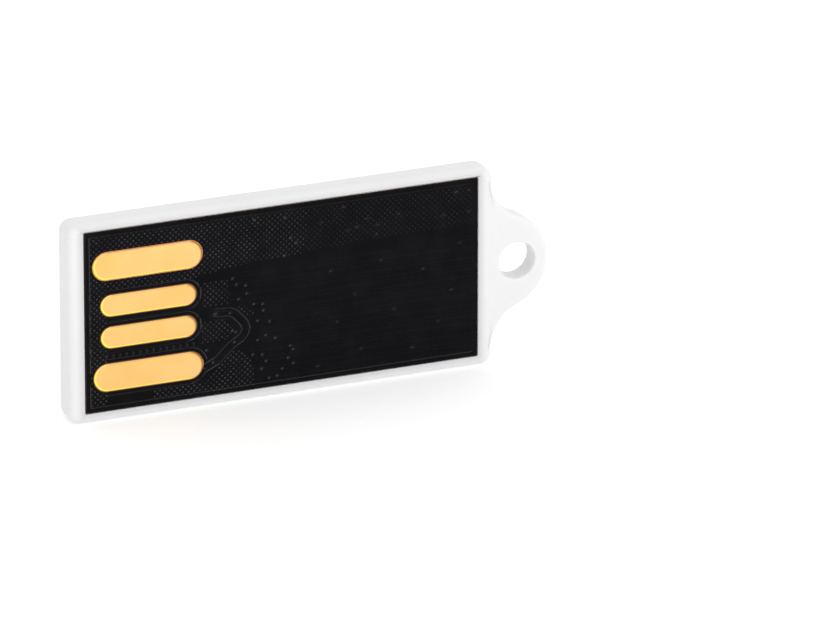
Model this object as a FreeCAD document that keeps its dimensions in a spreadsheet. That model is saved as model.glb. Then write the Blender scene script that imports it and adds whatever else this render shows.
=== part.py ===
import FreeCAD, Part
import math
import os
import Sketcher

# Slim capless USB flash drive: a white moulded tray with a key loop, and a flat
# chip-on-board memory module bonded into the tray with its four contacts showing.
#
# Frame: +X runs from the contact end to the key loop, the contact side faces -Y and
# the plain rear side faces +Y. The drive stands on one long edge, with +Z up. The
# origin is under the middle of the overall box. All sizes are in millimetres.

doc = FreeCAD.newDocument("flash_drive")

# ---------------------------------------------------------------- driving dimensions
DIMENSIONS = {
    # tray
    "body_length": 26.8,
    "body_width": 12.45,
    "body_thickness": 2.25,
    "corner_radius": 0.7,
    "front_edge_radius": 0.42,
    "rear_edge_radius": 0.8,
    "pocket_corner_radius": 0.1,
    # key loop
    "loop_radius": 3.05,
    "loop_offset": 0.6,
    "loop_thickness": 1.38,
    "loop_shift": -0.165,
    "loop_edge_radius": 0.25,
    "loop_blend_radius": 2.9,
    "loop_overlap": 0.05,
    "loop_root": 0.5,
    "key_hole_radius": 1.15,
    "key_hole_offset": 1.65,
    "key_hole_edge_radius": 0.12,
    # module and its bond
    "module_length": 24.8,
    "module_width": 11.3,
    "module_thickness": 1.4,
    "module_gap": 0.05,
    "module_rise": 0.07,
    "adhesive_thickness": 0.1,
    "adhesive_inset": 0.8,
    # board layers
    "mask_thickness": 0.04,
    "copper_thickness": 0.04,
    "board_thickness": 0.22,
    "inner_mask_thickness": 0.03,
    "mask_margin": 0.04,
    # contacts
    "power_contact_start": 0.51,
    "power_contact_length": 6.85,
    "power_contact_width": 1.74,
    "power_contact_pitch": 7.0,
    "data_contact_start": 0.97,
    "data_contact_length": 6.01,
    "data_contact_width": 1.36,
    "data_contact_pitch": 2.0,
    "contact_shift": -0.065,
    "contact_edge_radius": 0.025,
    # copper of the contact side
    "plane_inset": 0.35,
    "plane_clearance": 0.24,
    "data_trace_width": 0.16,
    "power_trace_width": 0.5,
    "trace_clearance": 0.16,
    "via_radius": 0.12,
    # memory dies
    "flash_start": 1.7,
    "flash_length": 10.6,
    "flash_width": 8.6,
    "flash_step": 0.6,
    "die_thickness": 0.2,
    "film_thickness": 0.04,
    # controller die
    "controller_start": 15.6,
    "controller_side": 3.0,
    # bond wires and the fingers that they land on
    "wire_size": 0.04,
    "wire_rise": 0.14,
    "wire_knee": 0.55,
    "wire_inset": 0.2,
    "flash_wires": 16,
    "flash_wire_reach": 0.75,
    "controller_wires": 6,
    "controller_wire_reach": 0.65,
    "finger_length": 0.5,
    "finger_width": 0.22,
    "wire_pitch": 0.42,
    # crystal
    "crystal_start": 20.9,
    "crystal_length": 2.5,
    "crystal_width": 2.0,
    "crystal_base_thickness": 0.4,
    "crystal_lid_thickness": 0.12,
    "crystal_lid_inset": 0.15,
    # chip capacitors and resistors
    "chip_length": 1.0,
    "chip_width": 0.5,
    "capacitor_thickness": 0.5,
    "resistor_thickness": 0.35,
    "chip_land_length": 0.3,
}

sheet = doc.addObject("Spreadsheet::Sheet", "dims")
for row, (alias, value) in enumerate(DIMENSIONS.items(), start=1):
    sheet.set(f"A{row}", alias)
    sheet.set(f"B{row}", str(value))
    sheet.setAlias(f"B{row}", alias)
doc.recompute()


def size(alias):
    """The number that a cell of the sheet holds."""
    return float(sheet.get(alias))


# Where things lie, as expressions on the sheet. X of the tray's contact end, X of its
# loop end, X of the module's contact edge, Z of the tray's middle line, Z of the
# module's, and the Y of each layer, from the contact face inwards.
CONTACT_END = "(-(dims.body_length + dims.loop_offset + dims.loop_radius) / 2)"
LOOP_END = f"({CONTACT_END} + dims.body_length)"
MODULE_EDGE = f"({CONTACT_END} + (dims.body_length - dims.module_length) / 2)"
TRAY_MIDDLE = "(dims.body_width / 2)"
MIDDLE = f"({TRAY_MIDDLE} + dims.module_rise)"
FACE_Y = "(-dims.body_thickness / 2)"
BOARD_Y = f"({FACE_Y} + dims.mask_thickness)"
COPPER_BACK_Y = f"({BOARD_Y} + dims.copper_thickness)"
INNER_Y = f"({BOARD_Y} + dims.board_thickness)"
MOULD_Y = f"({INNER_Y} + dims.inner_mask_thickness)"
BACK_Y = f"({FACE_Y} + dims.module_thickness)"
FLOOR_Y = f"({BACK_Y} + dims.adhesive_thickness)"

nodes = {}


def node(name, item):
    """Registers an object as the sub-part that goes to parts/name.step."""
    item.Label = name
    nodes[name] = item
    return item


# ---------------------------------------------------------------- shared builders
def new_body(name):
    return doc.addObject("PartDesign::Body", name)


def new_sketch(body, name, x, y, z):
    """A sketch parallel to the XZ plane with its origin at x, y, z: its own x runs
    along +X and its own y along +Z, and it faces -Y."""
    sketch = body.newObject("Sketcher::SketchObject", name)
    plane = next(f for f in body.Origin.OriginFeatures if f.Role == "XZ_Plane")
    sketch.AttachmentSupport = [(plane, "")]
    sketch.MapMode = "FlatFace"
    sketch.setExpression("AttachmentOffset.Base.x", x)
    sketch.setExpression("AttachmentOffset.Base.y", z)
    sketch.setExpression("AttachmentOffset.Base.z", f"-{y}")
    return sketch


def bind(sketch, constraint, expression):
    """Adds a dimension to a sketch and ties it to the sheet."""
    index = sketch.addConstraint(constraint)
    sketch.setExpression(f"Constraints[{index}]", expression)


def draw_rectangle(sketch, length, width):
    """A rectangle from x = 0 to the length, centred on the x axis."""
    x, across = (float(sketch.evalExpression(e)) for e in (length, width))
    z = across / 2
    corners = [(0, -z), (x, -z), (x, z), (0, z)]
    points = [FreeCAD.Vector(a, b, 0) for a, b in corners]
    first = sketch.GeometryCount
    for i in range(4):
        sketch.addGeometry(Part.LineSegment(points[i], points[(i + 1) % 4]))
    for i in range(4):
        sketch.addConstraint(Sketcher.Constraint("Coincident", first + i, 2, first + (i + 1) % 4, 1))
    for i, way in enumerate(["Horizontal", "Vertical", "Horizontal"]):
        sketch.addConstraint(Sketcher.Constraint(way, first + i))
    sketch.addConstraint(Sketcher.Constraint("Symmetric", first, 1, first + 3, 1, -1))
    sketch.addConstraint(Sketcher.Constraint("PointOnObject", first, 1, -2))
    bind(sketch, Sketcher.Constraint("DistanceX", first, 1, first, 2, x), length)
    bind(sketch, Sketcher.Constraint("DistanceY", first + 1, 1, first + 1, 2, across), width)


def draw_slot(sketch, start, length, width, middle):
    """A stadium outline: two lines joined by half circles, from x = start to
    start + length, at the height middle."""
    x0, run, across, up = (float(sketch.evalExpression(e)) for e in (start, length, width, middle))
    r = across / 2
    left = FreeCAD.Vector(x0 + r, up, 0)
    right = FreeCAD.Vector(x0 + run - r, up, 0)
    rise = FreeCAD.Vector(0, r, 0)
    first = sketch.GeometryCount
    axis = FreeCAD.Vector(0, 0, 1)
    sketch.addGeometry(Part.LineSegment(left - rise, right - rise))
    sketch.addGeometry(Part.ArcOfCircle(Part.Circle(right, axis, r), -math.pi / 2, math.pi / 2))
    sketch.addGeometry(Part.LineSegment(right + rise, left + rise))
    sketch.addGeometry(Part.ArcOfCircle(Part.Circle(left, axis, r), math.pi / 2, 1.5 * math.pi))
    for i in range(4):
        sketch.addConstraint(Sketcher.Constraint("Tangent", first + i, 2, first + (i + 1) % 4, 1))
    sketch.addConstraint(Sketcher.Constraint("Horizontal", first))
    sketch.addConstraint(Sketcher.Constraint("Horizontal", first + 2))
    bind(sketch, Sketcher.Constraint("Radius", first + 1, r), f"{width} / 2")
    bind(sketch, Sketcher.Constraint("DistanceX", first, 1, first, 2, run - across), f"{length} - {width}")
    bind(sketch, Sketcher.Constraint("DistanceX", -1, 1, first + 3, 3, x0 + r), f"{start} + {width} / 2")
    bind(sketch, Sketcher.Constraint("DistanceY", -1, 1, first + 3, 3, up), middle)


def pad(body, name, sketch, thickness):
    """Raises a sketch towards +Y."""
    feature = body.newObject("PartDesign::Pad", name)
    feature.Profile = sketch
    feature.Reversed = True
    feature.setExpression("Length", thickness)
    doc.recompute()
    return feature


def pocket(body, name, sketch, depth):
    """Sinks a sketch towards +Y and makes sure that it took something away."""
    before = body.Shape.Volume
    feature = body.newObject("PartDesign::Pocket", name)
    feature.Profile = sketch
    feature.setExpression("Length", depth)
    doc.recompute()
    if before - body.Shape.Volume < 1e-6:
        raise RuntimeError(f"{name} cut nothing")
    return feature


def round_edges(body, name, radius, wanted):
    """Rounds the edges of the body's last feature that a test picks."""
    base = body.Tip
    picked = [f"Edge{i}" for i, edge in enumerate(base.Shape.Edges, start=1) if wanted(edge)]
    if not picked:
        raise RuntimeError(f"{name} found no edges")
    feature = body.newObject("PartDesign::Fillet", name)
    feature.Base = (base, picked)
    feature.setExpression("Radius", radius)
    doc.recompute()
    return feature


def lies_at_y(edge, y):
    box = edge.BoundBox
    return abs(box.YMin - y) < 1e-5 and abs(box.YMax - y) < 1e-5


def runs_along_y(edge):
    box = edge.BoundBox
    return box.YLength > 1e-3 and box.XLength < 1e-5 and box.ZLength < 1e-5


def box(name, x, y, z, length, thickness, width):
    """A block from corner x, y, z: length along X, thickness along Y, width along Z."""
    item = doc.addObject("Part::Box", name)
    item.setExpression("Length", length)
    item.setExpression("Width", thickness)
    item.setExpression("Height", width)
    item.setExpression("Placement.Base.x", x)
    item.setExpression("Placement.Base.y", y)
    item.setExpression("Placement.Base.z", z)
    return item


def module_box(name, start, low, y, length, thickness, width):
    """A block placed on the module: start from its contact edge, low from its middle line."""
    return box(name, f"{MODULE_EDGE} + {start}", y, f"{MIDDLE} + {low}", length, thickness, width)


def group(name, items):
    item = doc.addObject("Part::Compound", name)
    item.Links = items
    return item


def cut(name, base, tools):
    """Base less the tools, which stay pieces of their own."""
    item = doc.addObject("Part::Cut", name)
    item.Base = base
    item.Tool = tools[0] if len(tools) == 1 else group(f"{name}_tools", tools)
    return item


# ---------------------------------------------------------------- tray
def make_shell():
    """The tray's rounded block with the pocket that takes the module."""
    body = new_body("shell")
    outline = new_sketch(body, "shell_outline", CONTACT_END, FACE_Y, TRAY_MIDDLE)
    draw_rectangle(outline, "dims.body_length", "dims.body_width")
    pad(body, "shell_block", outline, "dims.body_thickness")
    half = size("body_thickness") / 2
    round_edges(body, "shell_corners", "dims.corner_radius", runs_along_y)
    round_edges(body, "shell_front_round", "dims.front_edge_radius", lambda e: lies_at_y(e, -half))
    round_edges(body, "shell_rear_round", "dims.rear_edge_radius", lambda e: lies_at_y(e, half))
    edge = f"{MODULE_EDGE} - dims.module_gap"
    opening = new_sketch(body, "pocket_outline", edge, FACE_Y, MIDDLE)
    gap = "2 * dims.module_gap"
    draw_rectangle(opening, f"dims.module_length + {gap}", f"dims.module_width + {gap}")
    pocket(body, "module_pocket", opening, "dims.module_thickness + dims.adhesive_thickness")
    middle = size("body_width") / 2 + size("module_rise")
    inside = size("module_width") / 2 + size("module_gap")

    def pocket_corner(corner):
        return runs_along_y(corner) and abs(abs(corner.BoundBox.ZMin - middle) - inside) < 1e-4

    round_edges(body, "pocket_corners", "dims.pocket_corner_radius", pocket_corner)
    return body


def make_loop():
    """The key loop: an eye blended into the tray's end by two hollow arcs."""
    body = new_body("loop")
    low_y = "(dims.loop_shift - dims.loop_thickness / 2)"
    outline = new_sketch(body, "loop_outline", LOOP_END, low_y, TRAY_MIDDLE)
    radius = size("loop_radius")
    blend = size("loop_blend_radius")
    offset = size("loop_offset")
    overlap = size("loop_overlap")
    root = size("loop_root")
    blend_x = blend - overlap
    blend_z = math.sqrt((radius + blend) ** 2 - (blend_x - offset) ** 2)
    turn = math.atan2(blend_z, blend_x - offset)
    axis = FreeCAD.Vector(0, 0, 1)
    eye = Part.Circle(FreeCAD.Vector(offset, 0, 0), axis, radius)
    upper = Part.Circle(FreeCAD.Vector(blend_x, blend_z, 0), axis, blend)
    lower = Part.Circle(FreeCAD.Vector(blend_x, -blend_z, 0), axis, blend)
    corners = [(-overlap, blend_z), (-root, blend_z), (-root, -blend_z), (-overlap, -blend_z)]
    points = [FreeCAD.Vector(a, b, 0) for a, b in corners]
    outline.addGeometry(Part.ArcOfCircle(eye, -turn, turn))
    outline.addGeometry(Part.ArcOfCircle(upper, math.pi, math.pi + turn))
    for i in range(3):
        outline.addGeometry(Part.LineSegment(points[i], points[i + 1]))
    outline.addGeometry(Part.ArcOfCircle(lower, math.pi - turn, math.pi))
    # The hollow arcs run anticlockwise, so each meets the eye with its own end: the
    # upper one with its last point, the lower one with its first.
    outline.addConstraint(Sketcher.Constraint("Tangent", 0, 2, 1, 2))
    outline.addConstraint(Sketcher.Constraint("Tangent", 0, 1, 5, 1))
    outline.addConstraint(Sketcher.Constraint("Coincident", 1, 1, 2, 1))
    outline.addConstraint(Sketcher.Constraint("Coincident", 2, 2, 3, 1))
    outline.addConstraint(Sketcher.Constraint("Coincident", 3, 2, 4, 1))
    outline.addConstraint(Sketcher.Constraint("Coincident", 4, 2, 5, 2))
    outline.addConstraint(Sketcher.Constraint("Horizontal", 2))
    outline.addConstraint(Sketcher.Constraint("Horizontal", 4))
    outline.addConstraint(Sketcher.Constraint("Vertical", 3))
    outline.addConstraint(Sketcher.Constraint("PointOnObject", 0, 3, -1))
    outline.addConstraint(Sketcher.Constraint("Horizontal", 1, 3, 2, 1))
    outline.addConstraint(Sketcher.Constraint("Horizontal", 5, 3, 4, 2))
    outline.addConstraint(Sketcher.Constraint("Vertical", 2, 1, 4, 2))
    bind(outline, Sketcher.Constraint("Radius", 0, radius), "dims.loop_radius")
    bind(outline, Sketcher.Constraint("Radius", 1, blend), "dims.loop_blend_radius")
    bind(outline, Sketcher.Constraint("Radius", 5, blend), "dims.loop_blend_radius")
    bind(outline, Sketcher.Constraint("DistanceX", -1, 1, 0, 3, offset), "dims.loop_offset")
    bind(outline, Sketcher.Constraint("DistanceX", 2, 1, -1, 1, overlap), "dims.loop_overlap")
    bind(outline, Sketcher.Constraint("DistanceX", 3, 1, -1, 1, root), "dims.loop_root")
    pad(body, "loop_plate", outline, "dims.loop_thickness")
    front = size("loop_shift") - size("loop_thickness") / 2
    rear = front + size("loop_thickness")

    def rim(edge):
        return (lies_at_y(edge, front) or lies_at_y(edge, rear)) and "Circle" in str(edge.Curve)

    round_edges(body, "loop_rim_round", "dims.loop_edge_radius", rim)
    hole = new_sketch(body, "key_hole_outline", LOOP_END, low_y, TRAY_MIDDLE)
    centre = FreeCAD.Vector(size("key_hole_offset"), 0, 0)
    hole.addGeometry(Part.Circle(centre, axis, size("key_hole_radius")))
    hole.addConstraint(Sketcher.Constraint("PointOnObject", 0, 3, -1))
    bind(hole, Sketcher.Constraint("Radius", 0, size("key_hole_radius")), "dims.key_hole_radius")
    bind(hole, Sketcher.Constraint("DistanceX", -1, 1, 0, 3, centre.x), "dims.key_hole_offset")
    pocket(body, "key_hole", hole, "dims.loop_thickness")
    wall = size("key_hole_radius")

    def mouth(edge):
        return "Circle" in str(edge.Curve) and abs(edge.Curve.Radius - wall) < 1e-6

    round_edges(body, "key_hole_round", "dims.key_hole_edge_radius", mouth)
    return body


def make_tray():
    item = doc.addObject("Part::MultiFuse", "tray_solid")
    item.Shapes = [make_shell(), make_loop()]
    item.Refine = False
    return node("tray", item)


# ---------------------------------------------------------------- board and contacts
CONTACTS = {
    # name: (kind of contact, expression for its height above the middle line)
    "contact_vbus": ("power", "(dims.contact_shift - dims.power_contact_pitch / 2)"),
    "contact_data_minus": ("data", "(dims.contact_shift - dims.data_contact_pitch / 2)"),
    "contact_data_plus": ("data", "(dims.contact_shift + dims.data_contact_pitch / 2)"),
    "contact_ground": ("power", "(dims.contact_shift + dims.power_contact_pitch / 2)"),
}


def draw_contact(sketch, kind, middle, margin="0"):
    """A contact's outline, grown all round by a margin."""
    draw_slot(
        sketch,
        f"(dims.{kind}_contact_start - {margin})",
        f"(dims.{kind}_contact_length + 2 * {margin})",
        f"(dims.{kind}_contact_width + 2 * {margin})",
        middle,
    )


def make_contact(name, kind, middle):
    """One gold-faced spring contact: a stadium that fills the mask and copper layers."""
    body = new_body(f"{name}_body")
    outline = new_sketch(body, f"{name}_outline", MODULE_EDGE, FACE_Y, MIDDLE)
    draw_contact(outline, kind, middle)
    pad(body, f"{name}_plate", outline, "dims.mask_thickness + dims.copper_thickness")
    front = -size("body_thickness") / 2
    round_edges(body, f"{name}_round", "dims.contact_edge_radius", lambda e: lies_at_y(e, front))
    return node(name, body)


def make_contact_mask():
    """The black solder mask of the contact side, open over each contact."""
    body = new_body("contact_mask_body")
    outline = new_sketch(body, "contact_mask_outline", MODULE_EDGE, FACE_Y, MIDDLE)
    draw_rectangle(outline, "dims.module_length", "dims.module_width")
    pad(body, "contact_mask_sheet", outline, "dims.mask_thickness")
    windows = new_sketch(body, "contact_windows", MODULE_EDGE, FACE_Y, MIDDLE)
    for kind, middle in CONTACTS.values():
        draw_contact(windows, kind, middle, "dims.mask_margin")
    pocket(body, "contact_openings", windows, "dims.mask_thickness")
    return node("contact_side_mask", body)


def strip(points, width, y, thickness):
    """A flat track of one width along points on the module, with round ends and bends.
    Points are (distance from the contact edge, height above the middle line)."""
    edge = float(sheet.evalExpression(MODULE_EDGE))
    middle = float(sheet.evalExpression(MIDDLE))
    places = [FreeCAD.Vector(edge + a, y, middle + b) for a, b in points]
    along_y = FreeCAD.Vector(0, 1, 0)
    discs = [Part.makeCylinder(width / 2, thickness, place, along_y) for place in places]
    runs = []
    for start, end in zip(places, places[1:]):
        side = (end - start).cross(along_y).normalize() * (width / 2)
        corners = [start - side, end - side, end + side, start + side, start - side]
        runs.append(Part.Face(Part.makePolygon(corners)).extrude(along_y * thickness))
    return discs[0].multiFuse(discs[1:] + runs).removeSplitter()


def track(name, grow=0.0):
    """A copper track, or the clear space around one when it is grown all round."""
    points, width, layer = TRACKS[name]
    item = doc.addObject("Part::Feature", f"{name}_space" if grow else f"{name}_track")
    y = float(sheet.evalExpression(layer))
    item.Shape = strip(points, size(width) + 2 * grow, y, size("copper_thickness"))
    item.Placement = FreeCAD.Placement()
    return item


# Each track as (points, width, layer). Points are distances from the contact edge and
# heights above the middle line. The supply track leaves its contact on the contact
# side and hooks back between the data contacts. The data tracks run on the chip side,
# from barrels behind their contacts, round the other barrels, to the controller.
CHIP_COPPER_Y = f"({INNER_Y} - dims.copper_thickness)"
TRACKS = {
    "power_trace": (
        [
            (7.0, -3.56),
            (8.0, -3.56),
            (8.95, -2.69),
            (9.55, -2.45),
            (9.95, -2.0),
            (9.95, -1.65),
            (9.75, -1.25),
            (9.15, -0.62),
            (8.1, -0.54),
        ],
        "power_trace_width",
        BOARD_Y,
    ),
    "data_minus_trace": (
        [
            (6.4, -1.06),
            (8.4, -3.02),
            (11.5, -3.02),
            (12.3, -2.9),
            (13.2, -2.85),
            (14.4, -0.21),
            (14.9, -0.21),
        ],
        "data_trace_width",
        CHIP_COPPER_Y,
    ),
    "data_plus_trace": (
        [(6.4, 0.94), (7.3, 1.95), (13.4, 1.95), (14.4, 0.21), (14.9, 0.21)],
        "data_trace_width",
        CHIP_COPPER_Y,
    ),
}
DATA_VIAS = [TRACKS[name][0][0] for name in ("data_minus_trace", "data_plus_trace")]
POWER_VIAS = [(7.96, -3.59), (9.3, -2.5), (9.05, -0.6), (8.17, -0.54)]
PLANE_VIAS = [
    # beside and beyond the data contacts
    (9.23, 1.53),
    (9.46, 1.12),
    (10.04, 0.98),
    (10.12, 0.47),
    (9.6, 0.18),
    (10.56, -0.27),
    (11.11, -0.35),
    (11.16, -0.76),
    (10.79, -1.36),
    (11.54, -1.51),
    # towards the lower edge
    (11.3, -2.34),
    (10.78, -2.58),
    (10.47, -3.47),
    (11.07, -3.54),
    (11.31, -3.99),
    (11.03, -4.44),
    (13.03, -3.49),
    (12.7, -3.98),
    (12.33, -4.62),
    # along the upper edge
    (8.2, 4.95),
    (11.6, 4.75),
    (14.2, 3.4),
    (17.2, 4.6),
    (21.4, 4.5),
]


def make_power_trace():
    """The supply track, which starts at the end of its contact."""
    return node("power_trace", cut("power_trace_solid", track("power_trace"), [nodes["contact_vbus"]]))


def make_data_traces():
    return [node(name, track(name)) for name in ("data_minus_trace", "data_plus_trace")]


def make_ground_plane():
    """The copper plane around the contacts and the supply track, tied to the ground
    contact."""
    inset = "dims.plane_inset"
    blank = module_box(
        "plane_sheet",
        inset,
        f"(-dims.module_width / 2 + {inset})",
        BOARD_Y,
        f"dims.module_length - 2 * {inset}",
        "dims.copper_thickness",
        f"dims.module_width - 2 * {inset}",
    )
    body = new_body("contact_clearance")
    outline = new_sketch(body, "contact_clearance_outline", MODULE_EDGE, BOARD_Y, MIDDLE)
    for name, (kind, middle) in CONTACTS.items():
        margin = "0" if name == "contact_ground" else "dims.plane_clearance"
        draw_contact(outline, kind, middle, margin)
    pad(body, "contact_clearance_pad", outline, "dims.copper_thickness")
    clear_space = doc.addObject("Part::MultiFuse", "plane_clear_space")
    clear_space.Shapes = [body, track("power_trace", size("trace_clearance"))]
    return node("ground_plane", cut("ground_plane_solid", blank, [clear_space]))


def make_vias():
    """Copper barrels that join the two sides of the board. The two behind the data
    contacts stop at the data tracks, and the others run to the chip side's face."""
    full = "dims.board_thickness - dims.copper_thickness"
    spots = [(spot, f"{full} - dims.copper_thickness") for spot in DATA_VIAS]
    spots += [(spot, full) for spot in POWER_VIAS + PLANE_VIAS]
    barrels = []
    for i, ((along, across), depth) in enumerate(spots, start=1):
        item = doc.addObject("Part::Cylinder", f"via_{i}")
        item.setExpression("Radius", "dims.via_radius")
        item.setExpression("Height", depth)
        item.Placement.Rotation = FreeCAD.Rotation(FreeCAD.Vector(1, 0, 0), -90)
        item.setExpression("Placement.Base.x", f"{MODULE_EDGE} + {along}")
        item.setExpression("Placement.Base.y", COPPER_BACK_Y)
        item.setExpression("Placement.Base.z", f"{MIDDLE} + ({across})")
        barrels.append(item)
    return node("via_barrels", group("via_group", barrels))


def make_board(copper):
    """The glass-epoxy board, with the copper of both sides set flush into it."""
    blank = module_box(
        "board_blank",
        "0",
        "(-dims.module_width / 2)",
        BOARD_Y,
        "dims.module_length",
        "dims.board_thickness",
        "dims.module_width",
    )
    return node("substrate_board", cut("board_solid", blank, copper))


# ---------------------------------------------------------------- inside the mould
def make_flash():
    """Two memory dies, the upper one stepped back so that the lower one's edge is free."""
    made = []
    low = "(-dims.flash_width / 2)"
    for level, name in enumerate(["lower", "upper"]):
        start = f"dims.flash_start - {level} * dims.flash_step"
        base = f"{MOULD_Y} + {level} * (dims.film_thickness + dims.die_thickness)"
        film = module_box(
            f"flash_film_{name}_box",
            start,
            low,
            base,
            "dims.flash_length",
            "dims.film_thickness",
            "dims.flash_width",
        )
        die = module_box(
            f"flash_die_{name}_box",
            start,
            low,
            f"{base} + dims.film_thickness",
            "dims.flash_length",
            "dims.die_thickness",
            "dims.flash_width",
        )
        made.append(node(f"flash_die_film_{name}", film))
        made.append(node(f"flash_die_{name}", die))
    return made


def make_controller():
    side = "dims.controller_side"
    low = f"(-{side} / 2)"
    start = "dims.controller_start"
    film = module_box("controller_film_box", start, low, MOULD_Y, side, "dims.film_thickness", side)
    top = f"{MOULD_Y} + dims.film_thickness"
    die = module_box("controller_die_box", start, low, top, side, "dims.die_thickness", side)
    return [node("controller_die_film", film), node("controller_die", die)]


def wire_shape(die_x, finger_x, die_y, across):
    """One bond wire: up from the die, level over its edge, then down to the finger."""
    thick = size("wire_size")
    rise = size("wire_rise")
    edge = float(sheet.evalExpression(MODULE_EDGE))
    middle = float(sheet.evalExpression(MIDDLE))
    board = float(sheet.evalExpression(MOULD_Y))
    way = math.copysign(1.0, finger_x - die_x)
    top = die_y + rise
    knee = die_x + way * size("wire_knee") * abs(finger_x - die_x)
    profile = [
        (die_x, die_y),
        (die_x, top),
        (knee, top),
        (finger_x + way * thick, board),
        (finger_x, board),
        (knee - way * thick, top - thick),
        (die_x + way * thick, top - thick),
        (die_x + way * thick, die_y),
    ]
    low = middle + across - thick / 2
    points = [FreeCAD.Vector(edge + a, b, low) for a, b in profile]
    return Part.Face(Part.makePolygon(points + points[:1])).extrude(FreeCAD.Vector(0, 0, thick))


def wire_rows():
    """Each bond wire as (group, place on the die, place on the board, die's top, height)."""
    board = float(sheet.evalExpression(MOULD_Y))
    level = size("film_thickness") + size("die_thickness")
    pitch = size("wire_pitch")
    inset = size("wire_inset")
    flash_end = size("flash_start") + size("flash_length")
    finger_x = flash_end + size("flash_wire_reach")
    count = int(size("flash_wires"))
    rows = []
    for i in range(count):
        across = (i - (count - 1) / 2) * pitch
        upper = i % 2
        die_x = flash_end - inset - upper * size("flash_step")
        rows.append(("flash", die_x, finger_x, board + (1 + upper) * level, across))
    start = size("controller_start")
    reach = size("controller_wire_reach")
    count = int(size("controller_wires"))
    for end, way in [(start, -1), (start + size("controller_side"), 1)]:
        for i in range(count):
            across = (i - (count - 1) / 2) * pitch
            rows.append(("controller", end - inset * way, end + reach * way, board + level, across))
    return rows


def make_wires(rows):
    made = []
    for name in ["flash", "controller"]:
        item = doc.addObject("Part::Feature", f"{name}_wires")
        wires = [wire_shape(*row[1:]) for row in rows if row[0] == name]
        item.Shape = Part.makeCompound(wires)
        item.Placement = FreeCAD.Placement()
        made.append(node(f"{name}_bond_wires", item))
    return made


def make_fingers(rows):
    """The plated fingers that the bond wires land on, flush with the inner mask."""
    fingers = []
    for i, (_, _, finger_x, _, across) in enumerate(rows, start=1):
        fingers.append(
            module_box(
                f"finger_{i}",
                f"{finger_x} - dims.finger_length / 2",
                f"({across}) - dims.finger_width / 2",
                INNER_Y,
                "dims.finger_length",
                "dims.inner_mask_thickness",
                "dims.finger_width",
            )
        )
    return node("bond_fingers", group("finger_group", fingers))


def make_crystal():
    inset = "dims.crystal_lid_inset"
    base = module_box(
        "crystal_base_box",
        "dims.crystal_start",
        "(-dims.crystal_width / 2)",
        MOULD_Y,
        "dims.crystal_length",
        "dims.crystal_base_thickness",
        "dims.crystal_width",
    )
    lid = module_box(
        "crystal_lid_box",
        f"dims.crystal_start + {inset}",
        f"(-dims.crystal_width / 2) + {inset}",
        f"{MOULD_Y} + dims.crystal_base_thickness",
        f"dims.crystal_length - 2 * {inset}",
        "dims.crystal_lid_thickness",
        f"dims.crystal_width - 2 * {inset}",
    )
    return [node("crystal_base", base), node("crystal_lid", lid)]


CHIPS = {
    # kind: places of the chips' middles, from the contact edge and the middle line
    "capacitor": [(14.6, 4.2), (16.6, 3.6), (18.6, 4.2), (14.6, -4.2), (16.6, -3.6), (18.6, -4.2)],
    "resistor": [(20.9, 3.4), (23.0, 3.4), (20.9, -3.4), (23.0, -3.4)],
}


def make_chips():
    """Chip capacitors and resistors, each on a pair of solder lands."""
    chips = []
    lands = []
    for kind, places in CHIPS.items():
        for i, (along, across) in enumerate(places, start=1):
            start = f"{along} - dims.chip_length / 2"
            low = f"({across}) - dims.chip_width / 2"
            chip = module_box(
                f"{kind}_{i}_box",
                start,
                low,
                MOULD_Y,
                "dims.chip_length",
                f"dims.{kind}_thickness",
                "dims.chip_width",
            )
            chips.append(node(f"{kind}_{i}", chip))
            for end in range(2):
                shift = f"{end} * (dims.chip_length - dims.chip_land_length)"
                lands.append(
                    module_box(
                        f"{kind}_{i}_land_{end + 1}",
                        f"{start} + {shift}",
                        low,
                        INNER_Y,
                        "dims.chip_land_length",
                        "dims.inner_mask_thickness",
                        "dims.chip_width",
                    )
                )
    return chips, node("component_lands", group("land_group", lands))


def make_inner_mask(metal):
    """The solder mask of the chip side, open over the fingers and lands."""
    blank = module_box(
        "inner_mask_blank",
        "0",
        "(-dims.module_width / 2)",
        INNER_Y,
        "dims.module_length",
        "dims.inner_mask_thickness",
        "dims.module_width",
    )
    return node("component_side_mask", cut("inner_mask_solid", blank, metal))


def make_mould(inside):
    """The moulded epoxy that buries the chips and makes the module's back."""
    blank = module_box(
        "mould_blank",
        "0",
        "(-dims.module_width / 2)",
        MOULD_Y,
        "dims.module_length",
        f"{BACK_Y} - {MOULD_Y}",
        "dims.module_width",
    )
    return node("mould_body", cut("mould_solid", blank, inside))


def make_adhesive():
    inset = "dims.adhesive_inset"
    film = module_box(
        "adhesive_film",
        inset,
        f"(-dims.module_width / 2) + {inset}",
        BACK_Y,
        f"dims.module_length - 2 * {inset}",
        "dims.adhesive_thickness",
        f"dims.module_width - 2 * {inset}",
    )
    return node("module_adhesive", film)


# ---------------------------------------------------------------- the assembly
make_tray()
make_adhesive()
contacts = [make_contact(name, kind, middle) for name, (kind, middle) in CONTACTS.items()]
make_contact_mask()
copper = [make_power_trace(), *make_data_traces(), make_ground_plane(), make_vias()]
make_board(contacts + copper)

rows = wire_rows()
buried = make_flash() + make_controller() + make_wires(rows) + make_crystal()
chips, lands = make_chips()
fingers = make_fingers(rows)
make_inner_mask([fingers, lands])
make_mould(buried + chips)
doc.recompute()

# ---------------------------------------------------------------- checks and export
failed = [item.Name for item in doc.Objects if "Invalid" in item.State or "Error" in item.State]
if failed:
    raise RuntimeError(f"failed objects: {failed}")
for name, item in nodes.items():
    shape = item.Shape
    if shape.isNull() or not shape.isValid() or not shape.Solids:
        raise RuntimeError(f"{name} has no sound solid")

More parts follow.
